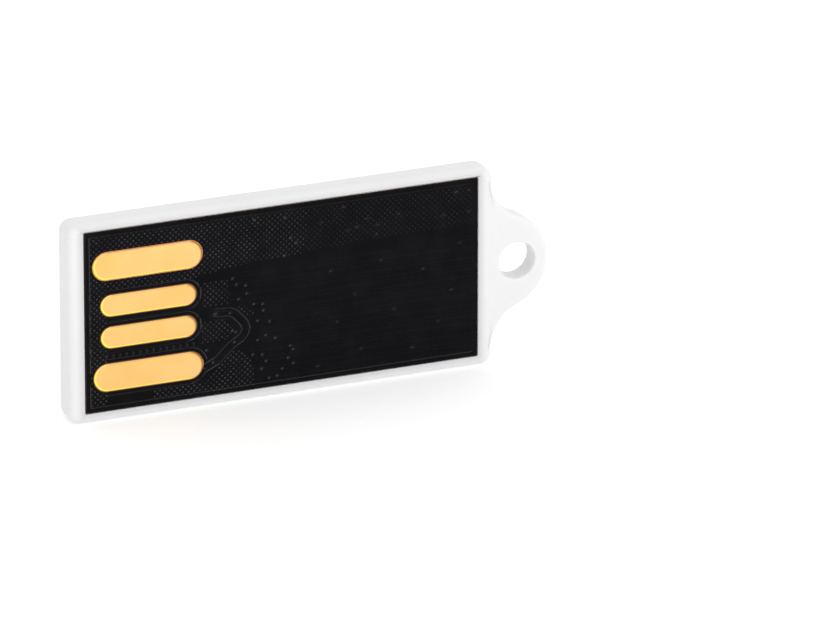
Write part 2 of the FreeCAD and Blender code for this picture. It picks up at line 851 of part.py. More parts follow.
os.makedirs("parts", exist_ok=True)
for name, item in nodes.items():
    item.Shape.exportStep(f"parts/{name}.step")
    extent = item.Shape.BoundBox
    print(
        f"{name:22s} solids {len(item.Shape.Solids):3d}  volume {item.Shape.Volume:9.4f}"
        f"  box {extent.XLength:6.2f} {extent.YLength:5.2f} {extent.ZLength:6.2f}"
    )
print(f"{len(nodes)} sub-parts")
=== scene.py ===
import bpy
import numpy as np
from mathutils import Matrix, Vector


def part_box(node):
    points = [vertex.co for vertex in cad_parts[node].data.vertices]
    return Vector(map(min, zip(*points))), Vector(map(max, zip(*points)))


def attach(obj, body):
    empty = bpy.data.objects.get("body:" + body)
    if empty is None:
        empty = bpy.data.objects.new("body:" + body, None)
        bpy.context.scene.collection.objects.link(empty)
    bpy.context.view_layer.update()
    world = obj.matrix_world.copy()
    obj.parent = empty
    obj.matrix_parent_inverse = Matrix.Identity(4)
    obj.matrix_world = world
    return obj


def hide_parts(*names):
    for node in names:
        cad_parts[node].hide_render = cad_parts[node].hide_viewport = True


# A slim USB flash drive: a white moulded tray with a key loop, and a flat memory module
# bonded into it with four gilded contacts showing. It stands on one long edge.
# X runs from the contact end to the key loop, the contact side faces -Y, and Z is up.
# Shapes are worked out in millimetres and become metres when a mesh is made.

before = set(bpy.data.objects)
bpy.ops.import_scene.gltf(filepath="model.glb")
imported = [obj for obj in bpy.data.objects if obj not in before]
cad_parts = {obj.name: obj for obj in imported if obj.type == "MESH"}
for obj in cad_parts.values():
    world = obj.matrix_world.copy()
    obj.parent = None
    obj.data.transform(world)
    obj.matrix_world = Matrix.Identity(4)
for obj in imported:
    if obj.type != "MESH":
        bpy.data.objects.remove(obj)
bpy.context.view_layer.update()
millimetre = 0.001


def boxOf(node):
    # Lowest and highest corner of a CAD node, in millimetres.
    low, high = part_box(node)
    return np.array(low) / millimetre, np.array(high) / millimetre


# Surfaces

def gridFaces(rows, columns, closedRows=False, closedColumns=True):
    # Four corners of every cell of a grid whose points are stored row after row;
    # a closed direction joins its last line of points to its first.
    row = np.arange(rows if closedRows else rows - 1)[:, None]
    column = np.arange(columns if closedColumns else columns - 1)[None, :]
    nextRow, nextColumn = (row + 1) % rows, (column + 1) % columns
    corners = [row * columns + column, row * columns + nextColumn,
               nextRow * columns + nextColumn, nextRow * columns + column]
    return np.stack(corners, -1).reshape(-1, 4)


def weld(points, faces):
    # Points at one place, to a ten thousandth of a millimetre, become one. A cell that
    # loses a corner becomes a triangle, and a cell that loses two is dropped. The last
    # result tells which point each of the old ones became.
    keys = np.round(points * 1e4).astype(np.int64)
    _, first, index = np.unique(keys, axis=0, return_index=True, return_inverse=True)
    index = index.reshape(-1)
    faces = index[faces]
    doubled = faces == np.roll(faces, -1, axis=1)
    whole = faces[doubled.sum(1) == 0]
    short = doubled.sum(1) == 1
    return points[first], whole, faces[short][~doubled[short]].reshape(-1, 3), index


def volumeOf(points, triangles):
    # Six times the signed volume: the sum over all triangles of a . (b x c).
    a, b, c = (points[triangles[:, corner]] for corner in range(3))
    return np.einsum("ij,ij->", a, np.cross(b, c))


def makePiece(name, parts, finish, rings=(), crease=38):
    # parts are (points, cells) pairs that are welded into one closed mesh; rings are
    # many-sided faces given as points. Every face is turned round if the mesh is inside
    # out. An edge that turns by more than crease, in degrees, stays sharp.
    points = np.vstack([part[0] for part in parts] + list(rings))
    starts = np.cumsum([0] + [len(part[0]) for part in parts])
    cells = np.vstack([part[1] + start for part, start in zip(parts, starts)])
    welded, quads, triangles, index = weld(points, cells)
    faces = quads.tolist() + triangles.tolist()
    start = starts[-1]
    for ring in rings:
        faces.append(index[start:start + len(ring)].tolist())
        start += len(ring)
    split = np.vstack([quads[:, [0, 1, 2]], quads[:, [0, 2, 3]], triangles])
    if volumeOf(welded - welded.mean(0), split) < 0:
        faces = [face[::-1] for face in faces]
    mesh = bpy.data.meshes.new(name)
    mesh.from_pydata((welded * millimetre).tolist(), [], faces)
    mesh.update()
    mesh.polygons.foreach_set("use_smooth", np.ones(len(mesh.polygons), bool))
    mesh.set_sharp_from_angle(angle=np.radians(crease))
    piece = bpy.data.objects.new(name, mesh)
    bpy.context.scene.collection.objects.link(piece)
    mesh.materials.append(finish)
    return piece


def pointsOf(piece):
    # The points of a piece, in millimetres.
    places = np.empty(len(piece.data.vertices) * 3)
    piece.data.vertices.foreach_get("co", places)
    return places.reshape(-1, 3) / millimetre


def addAttribute(piece, name, values):
    piece.data.attributes.new(name, "FLOAT", "POINT").data.foreach_set("value", values)


def settle(piece, slot, *nodes):
    # The piece rides on the drive's one body and stands for its CAD nodes.
    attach(piece, "root")
    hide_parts(*nodes)


def quarter(steps):
    # Sine and cosine along a quarter turn.
    angle = np.linspace(0, np.pi / 2, steps + 1)
    return np.sin(angle), np.cos(angle)


# Finishes

class Wire:
    # A socket that can be used in sums; each operation adds one Math node.
    def __init__(self, finish, socket):
        self.finish = finish
        self.socket = socket

    def math(self, operation, *others):
        inputs = dict(enumerate((self,) + others))
        return self.finish.add("Math", {"operation": operation}, inputs)

    def turned(self, operation, other):
        return self.finish.add("Math", {"operation": operation}, {0: other, 1: self})

    def __add__(self, other):
        return self.math("ADD", other)

    def __radd__(self, other):
        return self.turned("ADD", other)

    def __sub__(self, other):
        return self.math("SUBTRACT", other)

    def __rsub__(self, other):
        return self.turned("SUBTRACT", other)

    def __mul__(self, other):
        return self.math("MULTIPLY", other)

    def __rmul__(self, other):
        return self.turned("MULTIPLY", other)

    def between(self, low, high):
        # 0 below low, 1 above high and a smooth step from one to the other.
        return self.finish.add("MapRange", {"interpolation_type": "SMOOTHSTEP"},
                               {"Value": self, "From Min": low, "From Max": high})


class Finish:
    # A material on one Principled shader. Fixed values go straight on its sockets.
    def __init__(self, name, **fixed):
        self.material = bpy.data.materials.new(name)
        self.material.use_nodes = True
        self.tree = self.material.node_tree
        self.shader = self.tree.nodes["Principled BSDF"]
        for socket, value in fixed.items():
            self.shader.inputs[socket.replace("_", " ")].default_value = value
        self.place = self.add("VectorMath", {"operation": "SCALE"},
                              {0: self.add("TexCoord", {}, {}, "Object"), "Scale": 1 / millimetre})

    def feed(self, socket, value):
        if isinstance(value, Wire):
            self.tree.links.new(value.socket, socket)
        elif hasattr(value, "__len__") and socket.type == "RGBA":
            socket.default_value = (*value[:3], 1)
        else:
            socket.default_value = value

    def add(self, kind, settings, inputs, output=0):
        node = self.tree.nodes.new("ShaderNode" + kind)
        for key, value in settings.items():
            setattr(node, key, value)
        for key, value in inputs.items():
            self.feed(node.inputs[key], value)
        return Wire(self, node.outputs[output])

    def noise(self, scale, detail=2.0, roughness=0.5, place=None):
        # Noise with scale cells to the millimetre, from 0 to 1.
        return self.add("TexNoise", {}, {"Vector": place or self.place, "Scale": scale,
                                         "Detail": detail, "Roughness": roughness})

    def mix(self, share, first, second):
        # Colour that goes from the first to the second as share goes from 0 to 1.
        return self.add("Mix", {"data_type": "RGBA"}, {0: share, 6: first, 7: second}, 2)

    def stretched(self, along, across, up):
        # The place with each axis stretched, for streaks and layers.
        return self.add("VectorMath", {"operation": "MULTIPLY"},
                        {0: self.place, 1: (along, across, up)})

    def axes(self):
        parts = self.add("SeparateXYZ", {}, {0: self.place}).socket.node
        return [Wire(self, socket) for socket in parts.outputs]

    def drive(self, **varying):
        # Links what changes over the surface to the shader.
        for socket, value in varying.items():
            self.feed(self.shader.inputs[socket.replace("_", " ")], value)

    def bump(self, height, depth, under=None):
        # Normal from a height of 0 to 1 that stands for depth millimetres.
        inputs = {"Height": height, "Distance": depth * millimetre, "Strength": 1.0}
        if under is not None:
            inputs["Normal"] = under
        return self.add("Bump", {}, inputs)


# shaded, shadeReach, shadeFront and shadeFade set a painted shade on the rim beside the module.
plasticLook = {
    "tone": (0.705, 0.705, 0.71), "cloud": (0.690, 0.690, 0.696), "gloss": (0.33, 0.43),
    "grain": 7.0, "grainDepth": 0.006, "waviness": 0.35, "wavinessDepth": 0.03,
    "shaded": (0.54, 0.54, 0.543), "shadeReach": 0.62, "shadeFront": -0.8,
    "shadeFade": 0.15,
}


def plasticFinish(look):
    finish = Finish("white_moulded_plastic", IOR=1.46, Specular_IOR_Level=0.42,
                    Subsurface_Weight=0.25, Subsurface_Scale=0.0006, Subsurface_Radius=(1, 1, 1))
    cloud = finish.noise(0.16, 3)
    grain = finish.noise(look["grain"], 3, 0.6)
    wave = finish.noise(look["waviness"], 1)
    # Painted shade: the rim's colour turns darker beside the black module, on the front only.
    along, through, up = finish.axes()
    low, high = boxOf("contact_side_mask")
    middle, half = (low + high) / 2, (high - low) / 2
    away = ((along - middle[0]).math("ABSOLUTE") - half[0]).math(
        "MAXIMUM", (up - middle[2]).math("ABSOLUTE") - half[2])
    paintedRimShade = (1 - away.between(0, look["shadeReach"])) * (1 - through.between(
        look["shadeFront"] - look["shadeFade"], look["shadeFront"]))
    plain = finish.mix(cloud.between(0.35, 0.7), look["tone"], look["cloud"])
    low, high = look["gloss"]
    finish.drive(
        Base_Color=finish.mix(paintedRimShade, plain, look["shaded"]),
        Roughness=low + (high - low) * finish.noise(1.3, 4).between(0.3, 0.7),
        Normal=finish.bump(grain, look["grainDepth"], finish.bump(wave, look["wavinessDepth"])))
    return finish.material


# edge and shade are the colours of a painted highlight and a painted shade along each contact's rounded
# edge.
goldLook = {
    "tone": (0.83, 0.535, 0.20), "deep": (0.80, 0.497, 0.162), "gloss": (0.42, 0.52),
    "grain": 22.0, "grainDepth": 0.0012, "edge": (0.98, 0.76, 0.12), "shade": (0.42, 0.20, 0.05),
}


def goldFinish(look):
    finish = Finish("gilded_contact", Metallic=1.0)
    cloud = finish.noise(0.5, 3)
    brushed = finish.noise(5.0, 3, 0.6, finish.stretched(0.35, 1.0, 2.2))
    grain = finish.noise(look["grain"], 2)
    # Painted highlight and shade: the edge is lighter on the left and below, darker on the far side.
    edge = finish.add("Attribute", {"attribute_name": "edge"}, {}, "Fac")
    plain = finish.mix(cloud.between(0.3, 0.75), look["tone"], look["deep"])
    low, high = look["gloss"]
    finish.drive(
        Base_Color=finish.mix(edge.between(0.1, 0.6),
                              finish.mix((0 - edge).between(0.2, 0.9), plain, look["shade"]),
                              look["edge"]),
        Roughness=low + (high - low) * brushed,
        Normal=finish.bump(grain * 0.5 + brushed * 0.5, look["grainDepth"]))
    return finish.material


maskLook = {
    "tone": (0.0012, 0.0012, 0.0019), "dust": (0.0032, 0.0030, 0.0038), "gloss": (0.2, 0.27),
    "grain": 16.0, "grainDepth": 0.0006, "hatchDepth": 0.012,
    # The next three values give painted glints: the colour on lit edges and vias, the colour of the dot on
    # one side of each hatch opening, and how far that dot is shifted.
    "paintedGlint": (0.075, 0.074, 0.078), "dotGlint": (0.042, 0.041, 0.044), "dotGlintShift": (0.75, 0.45),
}


def maskFinish(look):
    finish = Finish("black_solder_mask", Specular_IOR_Level=0.062)
    cloud = finish.noise(0.7, 4, 0.6)
    streaks = finish.noise(2.6, 3, 0.55, finish.stretched(0.12, 1.0, 1.0))
    grain = finish.noise(look["grain"], 2, 0.6)
    # The hatch lies where the mesh says, with the same two cosines as its relief.
    along, _, up = finish.axes()
    turns = [(place - start) * (2 * np.pi / pitch) + turn * 2 * np.pi
             for place, start, pitch, turn in (
                 (along, moduleLow[0], maskRelief["hatchU"], maskRelief["turnU"]),
                 (up, moduleMiddle, maskRelief["hatchV"], maskRelief["turnV"]))]
    share = finish.add("Attribute", {"attribute_name": "hatch"}, {}, "Fac")
    hatch = 1 - share * (turns[0].math("COSINE") * turns[1].math("COSINE")).between(0.1, 0.8)
    # Painted glints: the colour is lighter on the copper edges that the mesh tells of, most where
    # they face one way, and on one side of every opening of the hatch.
    paintedGlint = finish.add("Attribute", {"attribute_name": "paintedEdgeGlint"}, {}, "Fac")
    shifted = [(turn - shift).math("COSINE") for turn, shift in zip(turns, look["dotGlintShift"])]
    uneven = 0.35 + 0.65 * finish.noise(2.2, 2, 0.6).between(0.35, 0.65)
    dotGlints = share * uneven * (shifted[0] * shifted[1]).between(0.25, 0.95)
    plain = finish.mix(cloud.between(0.35, 0.75), look["tone"], look["dust"])
    low, high = look["gloss"]
    finish.drive(
        Base_Color=finish.mix(paintedGlint, finish.mix(dotGlints, plain, look["dotGlint"]), look["paintedGlint"]),
        Roughness=low + (high - low) * (cloud * 0.5 + streaks * 0.5),
        Normal=finish.bump(hatch, look["hatchDepth"],
                           finish.bump(grain * 0.6 + streaks * 0.4, look["grainDepth"])))
    return finish.material


boardLook = {
    "resin": (0.145, 0.052, 0.022), "glass": (0.26, 0.12, 0.055), "gloss": (0.5, 0.7),
    "plies": 14.0, "plyDepth": 0.006,
}


def boardFinish(look):
    # Sawn laminate: thin plies through the board's thickness, with yarn ends along them.
    finish = Finish("sawn_laminate", Specular_IOR_Level=0.3)
    _, through, _ = finish.axes()
    ply = (through * look["plies"] * (2 * np.pi)).math("SINE").between(-0.6, 0.8)
    yarn = finish.noise(4.5, 2, 0.6, finish.stretched(1.0, 5.0, 1.0))
    fibre = ply * yarn.between(0.35, 0.65)
    low, high = look["gloss"]
    finish.drive(
        Base_Color=finish.mix(fibre, look["resin"], look["glass"]),
        Roughness=high - (high - low) * fibre,
        Normal=finish.bump(fibre + finish.noise(30, 2) * 0.4, look["plyDepth"]))
    return finish.material


# Finishes of the pieces inside: two tones mixed by a grain, whose scale is in cells to
# the millimetre and whose stretch makes saw marks, plating streaks or drawn wire.
insideLooks = {
    "mould_compound": {"tones": ((0.016, 0.016, 0.018), (0.05, 0.05, 0.052)), "scale": 14,
                       "stretch": (1, 1, 1), "gloss": (0.5, 0.72), "depth": 0.006},
    "adhesive": {"tones": ((0.62, 0.58, 0.46), (0.75, 0.72, 0.62)), "scale": 1.6,
                 "stretch": (1, 1, 1), "gloss": (0.35, 0.6), "depth": 0.01},
    "inner_solder_mask": {"tones": ((0.006, 0.03, 0.014), (0.012, 0.052, 0.024)), "scale": 5,
                          "stretch": (1, 1, 1), "gloss": (0.25, 0.4), "depth": 0.002},
    "copper": {"tones": ((0.78, 0.32, 0.18), (0.60, 0.21, 0.10)), "scale": 6,
               "stretch": (0.3, 1, 1), "gloss": (0.28, 0.5), "depth": 0.002, "metal": 1.0},
    "gold": {"tones": ((0.95, 0.66, 0.25), (0.84, 0.52, 0.16)), "scale": 12,
             "stretch": (1, 1, 1), "gloss": (0.25, 0.42), "depth": 0.001, "metal": 1.0},
    "gold_wire": {"tones": ((0.98, 0.71, 0.30), (0.86, 0.55, 0.18)), "scale": 40,
                  "stretch": (0.2, 1, 1), "gloss": (0.12, 0.25), "depth": 0.0006, "metal": 1.0},
    "silicon": {"tones": ((0.10, 0.105, 0.12), (0.17, 0.16, 0.20)), "scale": 3.2,
                "stretch": (1, 1, 1), "gloss": (0.08, 0.2), "depth": 0.0005, "metal": 0.55},
    "die_film": {"tones": ((0.50, 0.42, 0.26), (0.62, 0.54, 0.36)), "scale": 4,
                 "stretch": (1, 3, 1), "gloss": (0.4, 0.6), "depth": 0.002},
    "ceramic": {"tones": ((0.36, 0.24, 0.15), (0.46, 0.33, 0.22)), "scale": 11,
                "stretch": (1, 4, 1), "gloss": (0.35, 0.55), "depth": 0.003},
    "resistor_body": {"tones": ((0.02, 0.02, 0.024), (0.55, 0.55, 0.55)), "scale": 2.2,
                      "stretch": (0.4, 4, 0.4), "gloss": (0.25, 0.5), "depth": 0.002},
    "lid_metal": {"tones": ((0.66, 0.65, 0.61), (0.80, 0.79, 0.75)), "scale": 9,
                  "stretch": (0.15, 1, 1), "gloss": (0.2, 0.34), "depth": 0.001, "metal": 1.0},
    "solder": {"tones": ((0.60, 0.61, 0.63), (0.78, 0.78, 0.79)), "scale": 7,
               "stretch": (1, 1, 1), "gloss": (0.2, 0.45), "depth": 0.004, "metal": 1.0},
}


def insideFinish(name, look):
    finish = Finish(name, Metallic=look.get("metal", 0.0))
    grain = finish.noise(look["scale"], 4, 0.6, finish.stretched(*look["stretch"]))
    speck = finish.add("TexVoronoi", {"feature": "F1"},
                       {"Vector": finish.place, "Scale": look["scale"] * 1.7}, "Distance")
    shade = grain.between(0.32, 0.68) * (0.6 + 0.4 * speck.between(0.1, 0.5))
    low, high = look["gloss"]
    finish.drive(Base_Color=finish.mix(shade, *look["tones"]),
                 Roughness=high - (high - low) * shade,
                 Normal=finish.bump(grain, look["depth"]))
    return finish.material


finishes = {name: insideFinish(name, look) for name, look in insideLooks.items()}
finishes["substrate"] = boardFinish(boardLook)
insidePieces = {
    "module_adhesive": "adhesive", "substrate_board": "substrate", "mould_body": "mould_compound",
    "component_side_mask": "inner_solder_mask", "power_trace": "copper", "ground_plane": "copper",
    "data_minus_trace": "copper", "data_plus_trace": "copper", "via_barrels": "copper",
    "flash_die_lower": "silicon", "flash_die_upper": "silicon", "controller_die": "silicon",
    "flash_die_film_lower": "die_film", "flash_die_film_upper": "die_film",
    "controller_die_film": "die_film", "flash_bond_wires": "gold_wire",
    "controller_bond_wires": "gold_wire", "bond_fingers": "gold", "component_lands": "solder",
    "crystal_base": "ceramic", "crystal_lid": "lid_metal",
    **{f"capacitor_{number}": "ceramic" for number in range(1, 7)},
    **{f"resistor_{number}": "resistor_body" for number in range(1, 5)},
}
for node, look in insidePieces.items():
    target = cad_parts[node]
    if not target.material_slots:
        target.data.materials.append(None)
    for place in target.material_slots:
        place.material = finishes[look]
print("finishes: ", len(finishes), "for", len(insidePieces), "carried-over nodes")


# Tray

trayLook = {
    "bodyLength": 26.8, "cornerRadius": 0.7, "frontRound": 0.42, "rearRound": 0.8,
    "rimX": 0.95, "rimTop": 0.455, "rimBottom": 0.595, "pocketCorner": 0.1,
    "pocketEdge": 0.05, "pocketFloor": 0.375, "floorRound": 0.05, "crease": 55,
    "arcSteps": 12, "longSteps": 30, "shortSteps": 14,
}


def roundedRing(low, high, radius, look):
    # Outline of a rectangle in X and Z with quarter-circle corners. Every ring has the
    # same number of points, so that any two can be joined corner to corner.
    angle = np.linspace(0, np.pi / 2, look["arcSteps"] + 1)
    centres = np.array([(high[0] - radius, low[1] + radius), (high[0] - radius, high[1] - radius),
                        (low[0] + radius, high[1] - radius), (low[0] + radius, low[1] + radius)])
    steps = (look["shortSteps"], look["longSteps"])
    pieces = []
    for turn in range(4):
        around = angle + np.pi / 2 * (turn - 1)
        arc = centres[turn] + radius * np.column_stack([np.cos(around), np.sin(around)])
        ahead = centres[(turn + 1) % 4] + radius * np.array([np.cos(around[-1]), np.sin(around[-1])])
        share = np.linspace(0, 1, steps[turn % 2] + 1)[1:-1, None]
        pieces += [arc, arc[-1] * (1 - share) + ahead * share]
    return np.vstack(pieces)


def middleLine(ring):
    # Each point of a ring moved to the nearest point of the rectangle's middle line.
    low, high = ring.min(0), ring.max(0)
    half = (high[1] - low[1]) / 2
    return np.column_stack([np.clip(ring[:, 0], low[0] + half, high[0] - half),
                            np.full(len(ring), low[1] + half)])


def stack(rings, heights):
    # Rings in X and Z placed at their Y, one for each ring or for each of its points.
    return np.vstack([np.column_stack([ring[:, 0], np.full(len(ring), y), ring[:, 1]])
                      for ring, y in zip(rings, heights)])


def makeTray(look, finish):
    # Rings run from the middle of the rear face over the rear round, the side, the front
    # round, the rim and the pocket's wall to the middle of the pocket's floor. A ring a few
    # hundredths of a millimetre beside a round keeps the shading of the flat next to it.
    low, high = boxOf("tray")
    front, rear = low[1], high[1]
    bodyLow = np.array([low[0], low[2]])
    bodyHigh = np.array([low[0] + look["bodyLength"], high[2]])
    pocketLow = bodyLow + (look["rimX"], look["rimBottom"])
    pocketHigh = bodyHigh - (look["rimX"], look["rimTop"])
    rings, heights = [], []

    def outer(inset, y):
        rings.append(roundedRing(bodyLow + inset, bodyHigh - inset,
                                 max(look["cornerRadius"] - inset, 0.01), look))
        heights.append(y)

    def inner(margin, y):
        rings.append(roundedRing(pocketLow - margin, pocketHigh + margin,
                                 max(look["pocketCorner"] + margin, 0.01), look))
        heights.append(y)

    sine, cosine = quarter(14)
    outer(look["rearRound"] + 0.03, rear)
    for s, c in zip(sine, cosine):
        outer(look["rearRound"] * (1 - s), rear - look["rearRound"] * (1 - c))
    sideFrom, sideTo = rear - look["rearRound"], front + look["frontRound"]
    for share in (0.02, 0.35, 0.65, 0.98):
        outer(0, sideFrom + (sideTo - sideFrom) * share)
    for s, c in zip(sine, cosine):
        outer(look["frontRound"] * (1 - c), sideTo - look["frontRound"] * s)
    outer(look["frontRound"] + 0.005, front)
    inner(look["pocketEdge"] + 0.01, front)
    sine, cosine = quarter(6)
    for s, c in zip(sine, cosine):
        inner(look["pocketEdge"] * (1 - s), front + look["pocketEdge"] * (1 - c))
    inner(0, front + look["pocketEdge"] + 0.02)
    inner(0, look["pocketFloor"] - 0.07)
    for s, c in zip(sine, cosine):
        inner(-look["floorRound"] * (1 - c), look["pocketFloor"] - look["floorRound"] * (1 - s))
    inner(-0.08, look["pocketFloor"])
    rings = [middleLine(rings[0])] + rings + [middleLine(rings[-1])]
    heights = [rear] + heights + [look["pocketFloor"]]
    cells = gridFaces(len(rings), len(rings[0]))
    return makePiece("tray_shell", [(stack(rings, heights), cells)], finish)


loopLook = {
    "radius": 3.05, "reach": 0.6, "blendRadius": 2.9, "overlap": 0.05, "root": 0.9,
    "front": -0.855, "rear": 0.525, "round": 0.25, "holeRadius": 1.15, "holeShift": 1.05,
    "holeRound": 0.12, "frontLeave": 20, "rearLeave": 42, "inwardFall": 0.35,
    "tipSteps": 32, "blendSteps": 22, "edgeSteps": 3, "backSteps": 8,
    "holeAtBlend": 88, "holeAtEdge": 140, "holeAtRoot": 150,
}


def rootLift(x, bodyEnd, gap, bodyRound, leave):
    # How far a face of the loop swells towards the body's face, gap away: a hollow arc
    # that leaves the body's edge round at an angle of leave, in degrees, and ends level
    # with the loop. Inside the body the face falls away again.
    angle = np.radians(leave)
    left = bodyRound * (1 - np.cos(angle))
    radius = (gap - left) / (1 - np.cos(angle))
    start = bodyEnd - bodyRound * (1 - np.sin(angle))
    end = start + radius * np.sin(angle)
    swell = radius - np.sqrt(radius ** 2 - np.clip(end - x, 0, end - start) ** 2)
    return swell - np.clip(start - x, 0, None) * loopLook["inwardFall"]


def makeLoop(look, finish):
    # A ring-shaped surface: one direction runs round the loop's outline and the other
    # round its section, over the rim, the rear face, the hole's wall and the front face.
    low, high = boxOf("tray")
    bodyEnd = low[0] + trayLook["bodyLength"]
    middle = (low[2] + high[2]) / 2
    centre = np.array([bodyEnd + look["reach"], 0.0])
    blendX = bodyEnd - look["overlap"] + look["blendRadius"]
    reach = look["radius"] + look["blendRadius"]
    blendZ = np.sqrt(reach ** 2 - (blendX - centre[0]) ** 2)
    meet = np.arctan2(blendZ, blendX - centre[0])
    rootX = bodyEnd - look["root"]

    # Upper half of the outline from the tip to the root, with its outward directions,
    # the angle on the hole's edge that each point belongs to, and how far the rim's
    # round reaches there: it fades out inside the body.
    tip = np.linspace(0, meet, look["tipSteps"] + 1)
    arc = np.linspace(meet + np.pi, np.pi, look["blendSteps"] + 1)[1:]
    edge = np.linspace(0, 1, look["edgeSteps"] + 1)[1:]
    back = np.linspace(0, 1, look["backSteps"] + 1)[1:]
    outline = np.vstack([
        centre + look["radius"] * np.column_stack([np.cos(tip), np.sin(tip)]),
        np.array([blendX, blendZ]) + look["blendRadius"] * np.column_stack([np.cos(arc), np.sin(arc)]),
        np.column_stack([bodyEnd - look["overlap"] - (look["root"] - look["overlap"]) * edge,
                         np.full(len(edge), blendZ)]),
        np.column_stack([np.full(len(back), rootX), blendZ * (1 - back)])])
    outward = np.vstack([
        np.column_stack([np.cos(tip), np.sin(tip)]),
        -np.column_stack([np.cos(arc), np.sin(arc)]),
        np.column_stack([np.ones(len(edge)), np.zeros(len(edge))]), np.zeros((len(back), 2))])
    reachOfRound = np.concatenate([np.ones(len(tip) + len(arc)), 1 - edge, np.zeros(len(back))])
    atBlend, atEdge, atRoot = look["holeAtBlend"], look["holeAtEdge"], look["holeAtRoot"]
    holeAngle = np.concatenate([np.linspace(0, atBlend, len(tip)),
                                np.linspace(atBlend, atEdge, len(arc) + 1)[1:],
                                atEdge + (atRoot - atEdge) * edge, atRoot + (180 - atRoot) * back])
    mirror = np.array([1.0, -1.0])
    outline = np.vstack([outline, (outline * mirror)[-2:0:-1]])
    outward = np.vstack([outward, (outward * mirror)[-2:0:-1]])
    reachOfRound = np.concatenate([reachOfRound, reachOfRound[-2:0:-1]])[:, None]
    holeAngle = np.radians(np.concatenate([holeAngle, -holeAngle[-2:0:-1]]))
    holeCentre = centre + (look["holeShift"], 0)
    around = np.column_stack([np.cos(holeAngle), np.sin(holeAngle)])

    def rim(inset):
        return outline - outward * reachOfRound * inset

    def hole(margin):
        return holeCentre + around * (look["holeRadius"] + margin)

    def across(share):
        return hole(look["holeRound"]) * (1 - share) + rim(look["round"]) * share

    sine, cosine = quarter(12)
    smallSine, smallCosine = quarter(5)
    fillet, holeFillet = look["round"], look["holeRound"]
    front, rear = look["front"], look["rear"]

    def frontAt(ring, depth):
        gap = front - low[1]
        lift = rootLift(ring[:, 0], bodyEnd, gap, trayLook["frontRound"], look["frontLeave"])
        return ring, front + depth - lift

    def rearAt(ring, depth):
        gap = high[1] - rear
        lift = rootLift(ring[:, 0], bodyEnd, gap, trayLook["rearRound"], look["rearLeave"])
        return ring, rear - depth + lift

    shares = (0.02, 0.15, 0.3, 0.45, 0.6, 0.8, 0.98)
    section = [frontAt(across(share), 0) for share in (0,) + shares]
    section += [frontAt(rim(fillet * (1 - s)), fillet * (1 - c)) for s, c in zip(sine, cosine)]
    section += [frontAt(rim(0), fillet + 0.02), rearAt(rim(0), fillet + 0.02)]
    section += [rearAt(rim(fillet * (1 - c)), fillet * (1 - s)) for s, c in zip(sine, cosine)]
    section += [rearAt(across(share), 0) for share in shares[::-1]]
    section += [rearAt(hole(holeFillet * (1 - s)), holeFillet * (1 - c))
                for s, c in zip(smallSine, smallCosine)]
    section += [rearAt(hole(0), holeFillet + 0.02), frontAt(hole(0), holeFillet + 0.02)]
    section += [frontAt(hole(holeFillet * (1 - c)), holeFillet * (1 - s))
                for s, c in zip(smallSine, smallCosine)][:-1]
    rings = [ring + (0, middle) for ring, y in section]
    cells = gridFaces(len(rings), len(outline), closedRows=True)
    return makePiece("key_loop", [(stack(rings, [y for ring, y in section]), cells)], finish)


def unite(base, other, name, crease):
    # One closed surface of two that overlap. The cut is made at a thousand times the
    # size, where its smallest steps don't vanish.
    for piece in (base, other):
        piece.data.transform(Matrix.Scale(1 / millimetre, 4))
    join = base.modifiers.new("join", "BOOLEAN")
    join.operation, join.solver, join.object = "UNION", "MANIFOLD", other
    mesh = bpy.data.meshes.new_from_object(base.evaluated_get(bpy.context.evaluated_depsgraph_get()))
    mesh.name = name
    mesh.transform(Matrix.Scale(millimetre, 4))
    mesh.set_sharp_from_angle(angle=np.radians(crease))
    for piece in (base, other):
        bpy.data.objects.remove(piece)
    joined = bpy.data.objects.new(name, mesh)
    bpy.context.scene.collection.objects.link(joined)
    return joined


trayFinish = plasticFinish(plasticLook)
trayPiece = unite(makeTray(trayLook, trayFinish), makeLoop(loopLook, trayFinish), "moulded_tray",
                  trayLook["crease"])
settle(trayPiece, "white_plastic", "tray")
print("tray:", len(trayPiece.data.polygons), "faces")


# Contacts

contactLook = {
    "edgeRound": 0.06, "edgeSteps": 6, "straightSteps": 40, "arcSteps": 48,
    "glowFrom": 3.0, "glowFull": 1.5, "innerRings": (1.1, 3), "paintedLightSide": (-0.86, -0.5),
}
contactNodes = ("contact_ground", "contact_data_plus", "contact_data_minus", "contact_vbus")


def stadiumWalk(half, radius, place):
    # Direction and arc centre at a distance along the outline of a long round-ended
    # shape: it starts low on the left end, runs along the lower side, round the right
    # end, back along the upper side and round the left end.
    turn = np.pi * radius
    stops = np.cumsum([0, turn / 4, 2 * half, turn, 2 * half, turn * 0.75])
    angle = np.interp(place, stops, np.radians([225, 270, 270, 450, 450, 585]))
    shift = np.interp(place, stops, [-half, -half, half, half, -half, -half])
    return angle, shift


def stadium(contact, offset, place):
    # Points of a contact's outline, moved outwards by offset, in X and Z.
    angle, shift = stadiumWalk(contact["half"], contact["radius"], place)
    grown = contact["radius"] + offset
    return contact["centre"] + np.column_stack([shift + grown * np.cos(angle), grown * np.sin(angle)])


def contactShape(node):
    low, high = boxOf(node)
    radius = (high[2] - low[2]) / 2
    return {"radius": radius, "half": (high[0] - low[0]) / 2 - radius,
            "centre": np.array([(low[0] + high[0]) / 2, (low[2] + high[2]) / 2]),
            "front": low[1], "rear": high[1]}


